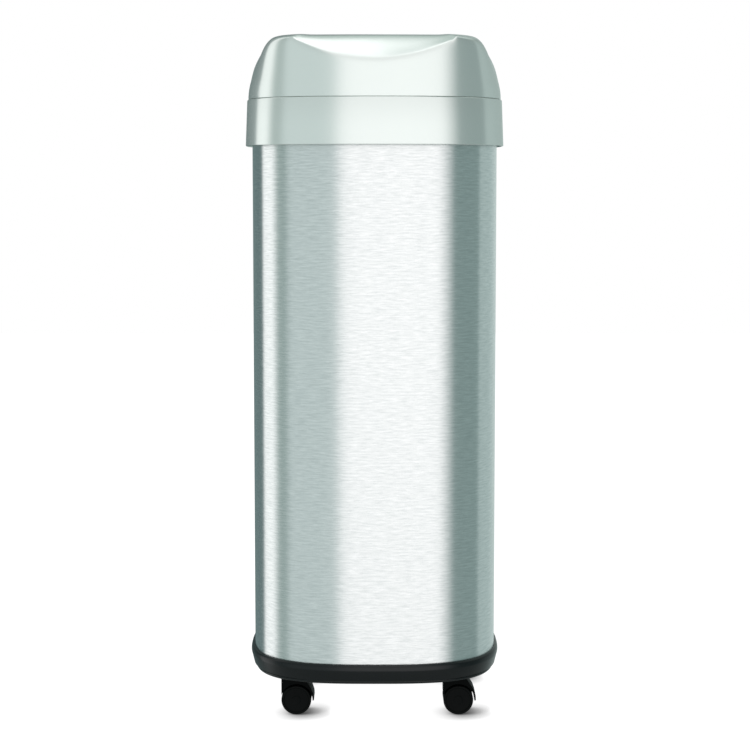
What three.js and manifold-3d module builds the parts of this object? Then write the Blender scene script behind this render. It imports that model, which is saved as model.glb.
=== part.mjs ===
// A wheeled, open-top trash can: a brushed steel sleeve between a black base and a silver collar, with
// a lift-off open lid, a ring for the liner and four twin-wheel casters.
// Millimetres. The origin is on the floor below the middle of the can, +X is to the right seen from
// the front, +Y points to the rear and +Z up.
import * as THREE from "three";
import { mergeVertices } from "three/addons/utils/BufferGeometryUtils.js";
import Module from "manifold-3d";

const clearance = 0.3; // between neighbours that touch, slide or turn
const cutOverrun = 2; // how far a cutting body runs past the face it opens

// The plan of the can is a superellipse: flat sides with soft corners.
const planExponent = 2.8;
const planSegments = 52;

// Casters
const wheelDiameter = 41.3;
const wheelWidth = 15;
const wheelEdge = 1.4; // chamfer between tread and faces
const wheelLip = 3.2; // the raised ring round the sunk disc of the outer face
const wheelDish = 0.9; // how deep that disc is sunk
const wheelCap = 2.6; // plastic left over the end of the axle
const axleDiameter = 5;
const finThickness = 7; // the web of the housing between the two wheels
const wheelPlay = 0.5; // between the web and each wheel
const axleBossRadius = 8;
const casterTrail = 3.8; // from the swivel axis to the axle
const treadGap = 1.55; // between the tread and the hood
const hoodRoof = 9.9; // solid housing above the wheels
const hoodWidth = 35;
const hoodNeckRadius = 17; // from the swivel axis to where the crown starts to fall
const hoodTailWall = 1.8;
const hoodBevel = 1.6;
const stemDiameter = 8;
const stemFloor = 1.9; // housing left under the stem
const stemTip = 1.2; // chamfer at the ends of the stem
const gripRingWall = 1;
const gripRingLength = 13;
const gripRingSlot = 1.6;
const casterInsetX = 58; // from the side of the sleeve to the swivel axis
const casterInsetY = 59; // from the front or rear of the sleeve to the swivel axis

// Caster tray
const trayHeight = 5.2;
const trayPlate = 3;
const trayBorder = 14; // width of the flat border round the tray
const trayEdge = 5; // rounding of its lower edge
const trayRib = 2.4;
const trayRibsPerSide = 2; // on each side of the middle, the last pair in line with the casters
const trayPadRadius = 20;
const socketDepth = 22;
const socketRoof = 2.5;
const socketWall = 3;

// Screws that hold the tray to the base
const screwDiameter = 3.5;
const screwLength = 14;
const screwHeadDiameter = 7.2;
const screwHeadHeight = 1.8;
const screwRecess = 0.8; // depth of the driving hole in the head
const screwRecessDiameter = 3;
const screwBossWall = 2.6;
const screwInset = 32; // from the edge of the plan to the screws
const screwSpread = 90; // between the two screws of the front, and of the rear

// Base rim
const rimHeight = 23.5;
const rimBulge = 4.4; // how far the rim stands out from the sleeve
const rimTopBulge = 1.8;
const rimEdge = 1.6;
const grooveDepth = 18; // how deep the sleeve stands in the rim
const upstandWall = 2.5;
const upstandRise = 10; // above the top of the rim
const floorPlate = 3;

// Sleeve
const sleeveHalfWidth = 170;
const sleeveHalfDepth = 144;
const sleeveWall = 0.6;
const sleeveHeight = 774;
const seamWidth = 8; // the folded joint of the sheet, inside the rear wall
const seamFold = 1.2;

// Collar
const collarHeight = 63;
const collarFlange = 8.2;
const collarFootOverhang = 9.2; // from the sleeve to the outside of the skirt, at its foot
const collarTopOverhang = 6.8;
const collarEdge = 1.2;
const skirtWall = 2.5;
const collarInset = 5; // from the sleeve's outside to the mouth of the collar
const collarLedge = 5.5; // width of the ledge under the bag ring
const collarLedgeDepth = 17;
const collarLedgeThickness = 2.5;
const collarUpstand = 35; // how far the inner wall reaches down inside the sleeve

// Bag ring
const bagRingFlange = 2.5;
const bagRingWall = 2.2;
const bagRingDrop = 40;
const bagRingPlay = 0.4;

// Lid
const lidHeight = 84.5;
const lidOverhang = 5.2;
const lidWall = 2.5;
const plugWall = 2.3;
const plugDepth = 13;
const mouthHalfWidth = 128; // of the crest round the mouth
const mouthHalfDepth = 92;
const mouthExponent = 3.2;
const mouthRoll = 9; // from the crest in to the throat
const throatDepth = 26;
const throatRollDrop = 7; // height of the rolled edge

// From the seam of the lid to the crest round its mouth, as [way in, way up]: over the sides, up the
// front where it stands full height, and over its scooped middle.
const sideShares = [
  [0, 0], [0.04, 0.25], [0.13, 0.44], [0.25, 0.62],
  [0.42, 0.79], [0.6, 0.92], [0.78, 0.985], [1, 1],
];
const postShares = [
  [0, 0], [0.005, 0.32], [0.01, 0.62], [0.02, 0.88],
  [0.08, 0.975], [0.32, 1], [0.65, 1], [1, 1],
];
const scoopShares = [
  [0, 0], [0, 0.25], [0, 0.42], [0.02, 0.59],
  [0.12, 0.7], [0.34, 0.85], [0.66, 0.96], [1, 1],
];
const scoopWidthShare = 0.62; // of the lid's half width, where the scoop of the front has run out
const postStartShare = 0.95; // of the half depth, where the front takes over
const sideEndShare = 0.35; // of the half depth, up to which the sides keep their own form

// Heights, from the floor up
const wheelRadius = wheelDiameter / 2;
const axleZ = wheelRadius;
const wheelWellRadius = wheelRadius + treadGap;
const hoodTop = axleZ + wheelWellRadius + hoodRoof;
const trayUnderside = hoodTop + clearance;
const trayTop = trayUnderside + trayHeight;
const rimBottom = trayTop + clearance;
const rimTop = rimBottom + rimHeight;
const floorUnderside = trayUnderside + socketDepth + socketRoof + clearance;
const floorTop = floorUnderside + floorPlate;
const sleeveBottom = rimTop - grooveDepth;
const sleeveTop = sleeveBottom + sleeveHeight;
const collarTop = sleeveTop + clearance + collarFlange;
const collarBottom = collarTop - collarHeight;
const ledgeTop = collarTop - collarLedgeDepth;
const lidBottom = collarTop + clearance;
const lidTop = lidBottom + lidHeight;

const casterSpanX = 2 * (sleeveHalfWidth - casterInsetX);
const casterSpanY = 2 * (sleeveHalfDepth - casterInsetY);
const socketRadius = stemDiameter / 2 + clearance + gripRingWall + clearance;
const screwHoleRadius = screwDiameter / 2 + clearance;

const black = new THREE.MeshStandardMaterial({ color: "#1b1f20", roughness: 0.45, metalness: 0 });
const blackGloss = new THREE.MeshStandardMaterial({ color: "#111415", roughness: 0.3, metalness: 0 });
const silver = new THREE.MeshStandardMaterial({ color: "#c3ccc8", roughness: 0.35, metalness: 0.3 });
const brushed = new THREE.MeshStandardMaterial({ color: "#c9cfce", roughness: 0.3, metalness: 1 });
const steel = new THREE.MeshStandardMaterial({ color: "#a9adad", roughness: 0.25, metalness: 1 });
const grey = new THREE.MeshStandardMaterial({ color: "#5a6060", roughness: 0.5, metalness: 0 });

const wasm = await Module();
wasm.setup();

/** The closed geometry as a solid that can be joined and cut. */
function solidOf(geometry) {
  const bare = geometry.clone();
  bare.deleteAttribute("normal");
  bare.deleteAttribute("uv");
  const merged = mergeVertices(bare);
  const index = merged.index.array;
  const corners = [];
  for (let i = 0; i < index.length; i += 3) {
    const [a, b, c] = index.slice(i, i + 3);
    if (a !== b && b !== c && c !== a) corners.push(a, b, c);
  }
  return new wasm.Manifold(
    new wasm.Mesh({
      numProp: 3,
      vertProperties: merged.attributes.position.array,
      triVerts: new Uint32Array(corners),
    }),
  );
}

/** The solid as a named mesh. */
function piece(name, solid, material) {
  const { vertProperties, triVerts } = solid.getMesh();
  const geometry = new THREE.BufferGeometry();
  geometry.setAttribute("position", new THREE.BufferAttribute(vertProperties, 3));
  geometry.setIndex(new THREE.BufferAttribute(triVerts, 1));
  geometry.computeVertexNormals();
  const mesh = new THREE.Mesh(geometry, material);
  mesh.name = name;
  return mesh;
}

/** The point at angle t of a superellipse with the half axes a and b. */
function planPoint(a, b, exponent, t) {
  const bent = (v) => Math.sign(v) * Math.abs(v) ** (2 / exponent);
  return [a * bent(Math.cos(t)), b * bent(Math.sin(t))];
}

/** The point at angle t of the can's plan, that far outside the sleeve. */
function sleevePoint(offset, t) {
  return planPoint(sleeveHalfWidth + offset, sleeveHalfDepth + offset, planExponent, t);
}

/**
 * A hoop round the can: a closed section of `count` points, carried round the plan. place(j, t) gives
 * the [x, y, z] of point j at angle t. Seen with the outside to the right, the points run
 * anticlockwise.
 */
function ringOf(count, place) {
  const section = Array.from({ length: count + 1 }, (_, j) => new THREE.Vector2(1, j));
  const lathe = new THREE.LatheGeometry(section, planSegments);
  const position = lathe.attributes.position;
  for (let i = 0; i <= planSegments; i++) {
    const t = (2 * Math.PI * (i % planSegments)) / planSegments;
    for (let j = 0; j <= count; j++) position.setXYZ(i * (count + 1) + j, ...place(j % count, t));
  }
  return solidOf(lathe);
}

/** A hoop whose section is a list of [offset from the sleeve, height]. */
function hoop(profile) {
  return ringOf(profile.length, (j, t) => {
    const [offset, z] = profile[j];
    return [...sleevePoint(offset, t), z];
  });
}

/** A plate of the can's plan, that far outside the sleeve, between two heights. */
function planPlate(offset, low, high) {
  const corners = Array.from({ length: planSegments }, (_, i) => {
    return new THREE.Vector2(...sleevePoint(offset, (2 * Math.PI * i) / planSegments));
  });
  const plate = new THREE.ExtrudeGeometry(new THREE.Shape(corners), {
    depth: high - low,
    bevelEnabled: false,
  });
  return solidOf(plate.translate(0, 0, low));
}

/** An upright cylinder between two heights. */
function post(x, y, radius, low, high, segments = 20) {
  const cylinder = new THREE.CylinderGeometry(radius, radius, high - low, segments);
  return solidOf(cylinder.rotateX(Math.PI / 2).translate(x, y, (low + high) / 2));
}

/** A cylinder along Y between two depths. */
function bar(x, z, radius, near, far, segments = 20) {
  const cylinder = new THREE.CylinderGeometry(radius, radius, far - near, segments);
  return solidOf(cylinder.translate(x, (near + far) / 2, z));
}

/** An upright turned body: its profile is a list of [radius, height]. */
function turned(profile, segments) {
  const points = profile.map(([r, z]) => new THREE.Vector2(r, z));
  return solidOf(new THREE.LatheGeometry(points, segments).rotateX(Math.PI / 2));
}

function block(width, depth, height, x, y, z) {
  return solidOf(new THREE.BoxGeometry(width, depth, height).translate(x, y, z));
}

/** The steel sleeve: one sheet rolled to the plan, with its folded joint inside the rear wall. */
function sleeve() {
  const wall = hoop([
    [0, sleeveBottom],
    [0, sleeveTop],
    [-sleeveWall, sleeveTop],
    [-sleeveWall, sleeveBottom],
  ]);
  const seamLow = rimTop + upstandRise + clearance;
  const seamHigh = sleeveTop - collarUpstand - clearance;
  const seamDepth = seamFold + sleeveWall / 2;
  const fold = block(
    seamWidth,
    seamDepth,
    seamHigh - seamLow,
    0,
    sleeveHalfDepth - sleeveWall / 2 - seamDepth / 2,
    (seamLow + seamHigh) / 2,
  );
  return wall.add(fold);
}

/** Where the screws between tray and base stand. */
function screwPlaces() {
  const y = sleeveHalfDepth - screwInset;
  const places = [[-(sleeveHalfWidth - screwInset), 0], [sleeveHalfWidth - screwInset, 0]];
  for (const side of [-1, 1]) for (const end of [-1, 1]) places.push([(side * screwSpread) / 2, end * y]);
  return places;
}

/** The black rim that the sleeve stands in, with the floor of the can and the bosses for the screws. */
function baseRim() {
  const inside = -sleeveWall - clearance;
  const upstandTop = rimTop + upstandRise;
  let rim = hoop([
    [rimBulge / 2, rimBottom],
    [rimBulge - rimEdge / 2, rimBottom + rimEdge],
    [rimBulge, rimBottom + rimHeight / 2],
    [rimBulge - rimEdge / 4, rimTop - rimHeight / 4],
    [rimBulge - rimEdge, rimTop - rimEdge],
    [rimTopBulge, rimTop],
    [clearance, rimTop],
    [clearance, sleeveBottom - clearance],
    [inside, sleeveBottom - clearance],
    [inside, upstandTop],
    [inside - upstandWall, upstandTop],
    [inside - upstandWall, rimBottom],
  ]);
  rim = rim.add(planPlate(inside - upstandWall / 2, floorUnderside, floorTop));
  for (const [x, y] of screwPlaces()) {
    const bossTop = floorUnderside + floorPlate / 2;
    rim = rim.add(post(x, y, screwHoleRadius + screwBossWall, rimBottom, bossTop, 12));
    const reach = trayTop - trayPlate + screwLength + clearance;
    rim = rim.subtract(post(x, y, screwHoleRadius, rimBottom - cutOverrun, reach, 10));
  }
  return rim;
}

/** The swivel axes of the casters, by name. */
const casterPlaces = {
  front_left: [-casterSpanX / 2, -casterSpanY / 2],
  front_right: [casterSpanX / 2, -casterSpanY / 2],
  rear_left: [-casterSpanX / 2, casterSpanY / 2],
  rear_right: [casterSpanX / 2, casterSpanY / 2],
};

/** The tray under the base, with a border, ribs, and a socket for the stem of each caster. */
function casterTray() {
  let tray = hoop([
    [-trayBorder, trayUnderside],
    [-trayEdge, trayUnderside],
    [-trayEdge / 3, trayUnderside + trayEdge / 5],
    [-trayEdge / 16, trayUnderside + (trayEdge * 3) / 5],
    [0, trayTop],
    [-trayBorder, trayTop],
  ]);
  const plateBottom = trayTop - trayPlate;
  tray = tray.add(planPlate(-trayBorder / 2, plateBottom, trayTop));
  const ribDepth = trayHeight - trayPlate / 2;
  const ribZ = trayUnderside + ribDepth / 2;
  const ribField = planPlate(-trayBorder / 2, trayUnderside, trayTop);
  for (let k = -trayRibsPerSide; k <= trayRibsPerSide; k++) {
    const share = k / trayRibsPerSide / 2;
    const across = block(trayRib, 2 * sleeveHalfDepth, ribDepth, share * casterSpanX, 0, ribZ);
    const along = block(2 * sleeveHalfWidth, trayRib, ribDepth, 0, share * casterSpanY, ribZ);
    tray = tray.add(across.add(along).intersect(ribField));
  }
  for (const [x, y] of Object.values(casterPlaces)) {
    const socketTop = trayUnderside + socketDepth + socketRoof;
    tray = tray.add(post(x, y, trayPadRadius, trayUnderside, trayTop, 24));
    tray = tray.add(post(x, y, socketRadius + socketWall, trayUnderside, socketTop, 16));
    const socketBottom = trayUnderside - cutOverrun;
    tray = tray.subtract(post(x, y, socketRadius, socketBottom, trayUnderside + socketDepth, 16));
  }
  for (const [x, y] of screwPlaces()) {
    const well = screwHeadDiameter / 2 + clearance;
    tray = tray.add(post(x, y, well + trayRib, trayUnderside, trayTop, 12));
    tray = tray.subtract(post(x, y, well, trayUnderside - cutOverrun, plateBottom, 12));
    tray = tray.subtract(post(x, y, screwHoleRadius, plateBottom - cutOverrun, trayTop + cutOverrun, 10));
  }
  return tray;
}

/** A pan-head screw that points up, with its head against the plate of the tray. */
function screw() {
  const seat = trayTop - trayPlate - clearance;
  const radius = screwDiameter / 2;
  const head = screwHeadDiameter / 2;
  const drive = screwRecessDiameter / 2;
  return turned(
    [
      [0, seat - screwHeadHeight + screwRecess],
      [drive, seat - screwHeadHeight + screwRecess],
      [drive, seat - screwHeadHeight],
      [head - screwRecess, seat - screwHeadHeight],
      [head, seat - screwHeadHeight / 2],
      [head, seat],
      [radius, seat],
      [radius, seat + screwLength - radius],
      [0, seat + screwLength],
    ],
    10,
  );
}

/** The silver collar over the top of the sleeve, with a ledge inside for the bag ring. */
function collar() {
  const inside = -sleeveWall - clearance;
  const flangeUnderside = sleeveTop + clearance;
  const mouth = -collarInset;
  const ledge = -collarInset - collarLedge;
  const wallInside = inside - upstandWall;
  return hoop([
    [collarFootOverhang, collarBottom],
    [collarTopOverhang, collarTop - 2 * collarEdge],
    [collarTopOverhang - collarEdge / 3, collarTop - collarEdge / 2],
    [collarTopOverhang - collarEdge, collarTop],
    [mouth, collarTop],
    [mouth, ledgeTop],
    [ledge, ledgeTop],
    [ledge, ledgeTop - collarLedgeThickness],
    [wallInside, ledgeTop - collarLedgeThickness - collarLedge],
    [wallInside, sleeveTop - collarUpstand],
    [inside, sleeveTop - collarUpstand],
    [inside, flangeUnderside],
    [collarTopOverhang - skirtWall, flangeUnderside],
    [collarFootOverhang - skirtWall, collarBottom],
  ]);
}

/** The ring that holds the liner: its flange rests on the collar's ledge, and the liner hangs over it. */
function bagRing() {
  const outside = -collarInset - bagRingPlay;
  const skirtOutside = -collarInset - collarLedge - bagRingPlay;
  const skirtInside = skirtOutside - bagRingWall;
  const bottom = ledgeTop + clearance;
  const top = bottom + bagRingFlange;
  const low = top - bagRingDrop;
  return hoop([
    [skirtOutside, low],
    [skirtOutside, bottom],
    [outside, bottom],
    [outside, top],
    [skirtInside, top],
    [skirtInside, low],
  ]);
}

const smooth = (low, high, v) => THREE.MathUtils.smoothstep(v, low, high);

/** How far in and up the outside of the lid is at step j and angle t: [way in, way up], as shares. */
function lidShares(j, t) {
  const [across, deep] = planPoint(1, 1, planExponent, t).map(Math.abs);
  const side = 1 - smooth(sideEndShare, postStartShare, deep);
  const scoop = (1 - side) * Math.max(0, 1 - (across / scoopWidthShare) ** 2);
  const post = 1 - scoop - side;
  return [0, 1].map((k) => {
    return scoop * scoopShares[j][k] + side * sideShares[j][k] + post * postShares[j][k];
  });
}

/** The open lid: it leans in over its sides, is scooped at front and rear, and rolls into its mouth. */
function lid() {
  const steps = sideShares.length;
  const crest = (offset, t) => {
    return planPoint(mouthHalfWidth + offset, mouthHalfDepth + offset, mouthExponent, t);
  };
  const between = (a, b, share) => a.map((v, k) => v + (b[k] - v) * share);
  const skin = (j, t, wall) => {
    const [inShare, upShare] = lidShares(j, t);
    const plan = between(sleevePoint(lidOverhang - wall, t), crest(0, t), inShare);
    const foot = lidBottom + wall;
    return [...plan, foot + (lidHeight - 2 * wall) * upShare];
  };
  const plugOut = -collarInset - clearance;
  const fromCrest = [
    [-mouthRoll / 2, -throatRollDrop / 6],
    [-mouthRoll, -throatRollDrop],
    [-mouthRoll, -throatDepth],
    [lidWall - mouthRoll, -throatDepth],
    [lidWall - mouthRoll, -throatRollDrop - lidWall],
  ];
  const foot = [
    [plugOut - plugWall, lidBottom + lidWall],
    [plugOut - plugWall, lidBottom - plugDepth],
    [plugOut, lidBottom - plugDepth],
    [plugOut, lidBottom],
  ];
  const count = 2 * steps + fromCrest.length + foot.length;
  return ringOf(count, (j, t) => {
    if (j < steps) return skin(j, t, 0);
    let k = j - steps;
    if (k < fromCrest.length) return [...crest(fromCrest[k][0], t), lidTop + fromCrest[k][1]];
    k -= fromCrest.length;
    if (k < steps) return skin(steps - 1 - k, t, lidWall);
    k -= steps;
    return [...sleevePoint(foot[k][0], t), foot[k][1]];
  });
}

/** One wheel of a caster about the Y axis, from its hub face at y = 0 out to its sunk disc. */
function wheel(outwards) {
  const bore = axleDiameter / 2 + clearance;
  const segments = 20;
  // The flats of the tread lie on its radius.
  const outer = wheelRadius / Math.cos(Math.PI / segments);
  const profile = [
    [bore, 0],
    [outer - wheelEdge, 0],
    [outer, wheelEdge],
    [outer, wheelWidth - wheelEdge],
    [outer - wheelEdge, wheelWidth],
    [outer - wheelLip, wheelWidth],
    [outer - wheelLip - wheelDish, wheelWidth - wheelDish],
    [0, wheelWidth - wheelDish],
    [0, wheelWidth - wheelCap],
    [bore, wheelWidth - wheelCap],
    [bore, 0],
  ];
  const points = profile.map(([r, y]) => new THREE.Vector2(r, y));
  const lathe = new THREE.LatheGeometry(points, segments, Math.PI / segments);
  if (outwards < 0) lathe.rotateX(Math.PI);
  return solidOf(lathe);
}

/** The hooded housing of a caster about its swivel axis: a crown, a web between the wheels and a tail. */
function housing() {
  const outline = new THREE.Shape();
  const front = casterTrail - wheelRadius;
  const tail = casterTrail + wheelWellRadius + hoodTailWall;
  outline.moveTo(front, axleZ);
  outline.lineTo(tail, axleZ);
  const shoulder = (axleZ + hoodTop + hoodRoof / 2) / 2;
  outline.quadraticCurveTo(tail + hoodTailWall / 4, shoulder, hoodNeckRadius, hoodTop);
  outline.lineTo(front, hoodTop);
  outline.closePath();
  const hood = new THREE.ExtrudeGeometry(outline, {
    depth: hoodWidth - 2 * hoodBevel,
    bevelThickness: hoodBevel,
    bevelSize: hoodBevel,
    bevelOffset: -hoodBevel,
    bevelSegments: 2,
    curveSegments: 8,
  });
  let made = solidOf(hood.translate(0, 0, hoodBevel - hoodWidth / 2).rotateX(Math.PI / 2));
  const web = finThickness / 2;
  const past = hoodWidth / 2 + cutOverrun;
  made = made.subtract(bar(casterTrail, axleZ, wheelWellRadius, -past, -web, 32));
  made = made.subtract(bar(casterTrail, axleZ, wheelWellRadius, web, past, 32));
  made = made.add(bar(casterTrail, axleZ, axleBossRadius, -web, web));
  made = made.subtract(bar(casterTrail, axleZ, axleDiameter / 2 + clearance, -past, past, 12));
  const seat = hoodTop - hoodRoof + stemFloor;
  return made.subtract(post(0, 0, stemDiameter / 2 + clearance, seat, hoodTop + cutOverrun, 16));
}

/** The steel stem of a caster, from its seat in the housing up into the socket. */
function stem() {
  const radius = stemDiameter / 2;
  const low = hoodTop - hoodRoof + stemFloor + clearance;
  const high = trayUnderside + socketDepth - clearance;
  return turned(
    [
      [0, low],
      [radius, low],
      [radius, high - stemTip],
      [radius - stemTip, high],
      [0, high],
    ],
    16,
  );
}

/** The split spring ring that holds the stem in its socket. */
function gripRing() {
  const bore = stemDiameter / 2 + clearance;
  const outer = bore + gripRingWall;
  const high = trayUnderside + socketDepth - stemTip - clearance;
  const low = high - gripRingLength;
  const ring = turned([[bore, low], [outer, low], [outer, high], [bore, high], [bore, low]], 16);
  const reach = outer + cutOverrun;
  const length = gripRingLength + 2 * cutOverrun;
  return ring.subtract(block(reach, gripRingSlot, length, -reach / 2, 0, (low + high) / 2));
}

/** A whole caster about its swivel axis. Its outer wheel is the one nearest the can's front or rear. */
function caster(name, outwards) {
  const group = new THREE.Group();
  const hub = finThickness / 2 + wheelPlay;
  const axleReach = hub + wheelWidth - wheelCap - clearance;
  group.add(piece(`${name}_housing`, housing(), black));
  group.add(piece(`${name}_stem`, stem(), steel));
  group.add(piece(`${name}_grip_ring`, gripRing(), steel));
  const axle = bar(casterTrail, axleZ, axleDiameter / 2, -axleReach, axleReach, 12);
  group.add(piece(`${name}_axle`, axle, steel));
  for (const [label, side] of [["outer", outwards], ["inner", -outwards]]) {
    const made = piece(`${name}_${label}_wheel`, wheel(side), blackGloss);
    made.position.set(casterTrail, side * hub, axleZ);
    group.add(made);
  }
  return group;
}

const can = new THREE.Group();
can.add(piece("body_sleeve", sleeve(), brushed));
can.add(piece("base_rim", baseRim(), black));
can.add(piece("caster_tray", casterTray(), black));
can.add(piece("top_collar", collar(), silver));
can.add(piece("bag_ring", bagRing(), grey));
can.add(piece("open_lid", lid(), silver));
screwPlaces().forEach(([x, y], i) => {
  const made = piece(`tray_screw_${i + 1}`, screw(), steel);
  made.position.set(x, y, 0);
  can.add(made);
});
for (const [name, [x, y]] of Object.entries(casterPlaces)) {
  const made = caster(`caster_${name}`, Math.sign(y));
  made.position.set(x, y, 0);
  can.add(made);
}

export default can;
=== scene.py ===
import math

import bmesh
import bpy
import numpy as np
from mathutils import Matrix, Vector


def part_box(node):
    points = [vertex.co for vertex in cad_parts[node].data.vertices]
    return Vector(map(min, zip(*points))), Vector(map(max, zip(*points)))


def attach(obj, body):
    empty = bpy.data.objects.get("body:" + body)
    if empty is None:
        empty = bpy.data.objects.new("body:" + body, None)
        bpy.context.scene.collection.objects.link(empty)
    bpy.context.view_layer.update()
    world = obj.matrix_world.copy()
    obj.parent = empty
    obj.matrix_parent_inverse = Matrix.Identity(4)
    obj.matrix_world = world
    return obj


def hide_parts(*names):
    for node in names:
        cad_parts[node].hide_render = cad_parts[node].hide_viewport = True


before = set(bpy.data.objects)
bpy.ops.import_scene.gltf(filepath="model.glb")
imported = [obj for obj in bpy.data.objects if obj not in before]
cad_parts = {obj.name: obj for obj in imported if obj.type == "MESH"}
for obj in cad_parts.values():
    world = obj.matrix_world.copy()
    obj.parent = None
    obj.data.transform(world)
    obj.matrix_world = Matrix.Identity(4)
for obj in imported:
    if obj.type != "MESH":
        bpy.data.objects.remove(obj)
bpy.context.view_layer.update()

MM = 0.001


def reach(name):
    """The lowest and highest corner of a CAD node as arrays."""
    low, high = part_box(name)
    return np.array(low), np.array(high)


# The plan of the can is a superellipse: flat sides with soft corners. Its size is the sleeve's.
PLAN_EXPONENT = 2.8
SLEEVE_LOW, SLEEVE_HIGH = reach("body_sleeve")
HALF_WIDTH, HALF_DEPTH = SLEEVE_HIGH[:2]
SLEEVE_WALL = 0.6 * MM
CLEARANCE = 0.3 * MM
SLEEVE_INSIDE = -SLEEVE_WALL - CLEARANCE  # offset from the sleeve's outside of what fits into it

# Upright angles round the plan. They start at the rear, where the sheet has its joint.
AROUND = 360
TURN = math.pi / 2 + np.arange(AROUND) * 2 * math.pi / AROUND

ARC_STEPS = 5  # points on a round corner
MERGE = 1e-7  # points that are closer than this are one


def bent(values, power):
    """Each value to that power, with its sign kept."""
    return np.sign(values) * np.abs(values) ** power


def superellipse(half_width, half_depth, exponent):
    """Plan points at the angles t of TURN, for half axes a and b and the exponent n.

    x = a·sgn(cos t)·|cos t|^(2/n) and y = b·sgn(sin t)·|sin t|^(2/n).
    """
    x = half_width * bent(np.cos(TURN), 2 / exponent)
    y = half_depth * bent(np.sin(TURN), 2 / exponent)
    return x, y


def unit(vectors):
    """Each vector at length 1."""
    return vectors / np.linalg.norm(vectors, axis=-1, keepdims=True)


def rounded(corners, steps=ARC_STEPS):
    """A closed section with round corners, from corners given as [x, y, radius in millimetres].

    The arc of a corner P with the half angle h between its legs has its centre on their bisector,
    r / sin h from P. It starts r / tan h from P on the leg that comes in, and turns by pi - 2h.
    """
    corners = np.array(corners, float)
    points, radius = corners[:, :2], corners[:, 2:] * MM
    back = unit(np.roll(points, 1, axis=0) - points)
    ahead = unit(np.roll(points, -1, axis=0) - points)
    half = np.arccos(np.clip(np.sum(back * ahead, axis=1, keepdims=True), -1, 1)) / 2
    centre = points + unit(back + ahead) * radius / np.sin(half)
    spoke = points + back * radius / np.tan(half) - centre
    side = np.sign(ahead[:, :1] * back[:, 1:] - ahead[:, 1:] * back[:, :1])
    swept = side * (math.pi - 2 * half) * np.linspace(0, 1, steps)
    angle = np.arctan2(spoke[:, 1:], spoke[:, :1]) + swept
    directions = np.stack([np.cos(angle), np.sin(angle)], axis=-1)
    return (centre[:, None, :] + radius[:, None, :] * directions).reshape(-1, 2)


def spline(net, steps):
    """A clamped cubic B-spline along the first axis of a net of control points.

    The basis starts as 1 in the knot span that holds u and is raised one degree at a time:
    N(i) = (u - k(i)) / (k(i+d) - k(i)) · N(i) + (k(i+d+1) - u) / (k(i+d+1) - k(i+1)) · N(i+1).
    """
    knots = np.concatenate([np.zeros(3), np.linspace(0, 1, len(net) - 2), np.ones(3)])
    u = np.linspace(0, 1 - 1e-9, steps)[:, None]  # stops just short of the last, empty knot span
    basis = ((knots[:-1] <= u) & (u < knots[1:])).astype(float)
    for degree in (1, 2, 3):
        span = knots[degree:] - knots[:-degree]
        span = np.where(span > 0, span, np.inf)
        rising = (u - knots[: -degree - 1]) / span[:-1]
        falling = (knots[degree + 1 :] - u) / span[1:]
        basis = rising * basis[:, :-1] + falling * basis[:, 1:]
    return np.tensordot(basis, net, axes=(1, 0))


def hoop(section, exponent=PLAN_EXPONENT):
    """The section [offset d, height z] carried round the can.

    Each point runs along the superellipse of that exponent with the half axes a + d and b + d.
    """
    offset, height = section[:, :1], section[:, 1:]
    x, y = superellipse(HALF_WIDTH + offset, HALF_DEPTH + offset, exponent)
    return np.stack([x, y, np.broadcast_to(height, x.shape)], axis=-1)


def plan_plate(offset, low, high, edge):
    """A plate of the plan that far outside the sleeve, with edges bevelled by edge.

    Its rows run from the middle of one face over the rim to the middle of the other.
    """
    share = np.array([0, 1, 1, 1, 1, 0])[:, None]
    inset = np.array([0, edge, 0, 0, edge, 0])[:, None]
    height = np.array([low, low, low + edge, high - edge, high, high])[:, None]
    halves = (share * (half + offset - inset) for half in (HALF_WIDTH, HALF_DEPTH))
    x, y = superellipse(*halves, PLAN_EXPONENT)
    return np.stack([x, y, np.broadcast_to(height, x.shape)], axis=-1)


def turned(section, steps=48):
    """The section [radius r, height h] turned about the Z axis: (r cos t, r sin t, h)."""
    t = np.arange(steps) * 2 * math.pi / steps
    radius, height = section[:, :1], section[:, 1:]
    return np.stack([radius * np.cos(t), radius * np.sin(t), height + 0 * t], axis=-1)


def prism(outline, low, high, edge, steps=4):
    """The closed outline [u, v] from depth low to high, with round edges and closed faces.

    Along an edge the outline moves inwards by e(1 - sin a) while the depth changes by e(1 - cos a).
    """
    ahead, back = np.roll(outline, -1, axis=0), np.roll(outline, 1, axis=0)
    tangent = unit(ahead - back)
    area = np.sum(outline[:, 0] * ahead[:, 1] - outline[:, 1] * ahead[:, 0])
    inwards = np.sign(area) * np.stack([-tangent[:, 1], tangent[:, 0]], axis=-1)
    angle = np.linspace(0, math.pi / 2, steps)
    inset = edge * (1 - np.sin(angle))
    depth = low + edge * (1 - np.cos(angle))
    inset = np.concatenate([inset, inset[::-1]])
    depth = np.concatenate([depth, low + high - depth[::-1]])
    flat = outline + inset[:, None, None] * inwards
    depths = np.broadcast_to(depth[:, None, None], flat.shape[:2] + (1,))
    middle = np.broadcast_to(outline.mean(axis=0), outline.shape)
    caps = [np.insert(middle, 2, at, axis=1)[None] for at in (low, high)]
    return np.concatenate([caps[0], np.concatenate([flat, depths], axis=-1), caps[1]])


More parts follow.
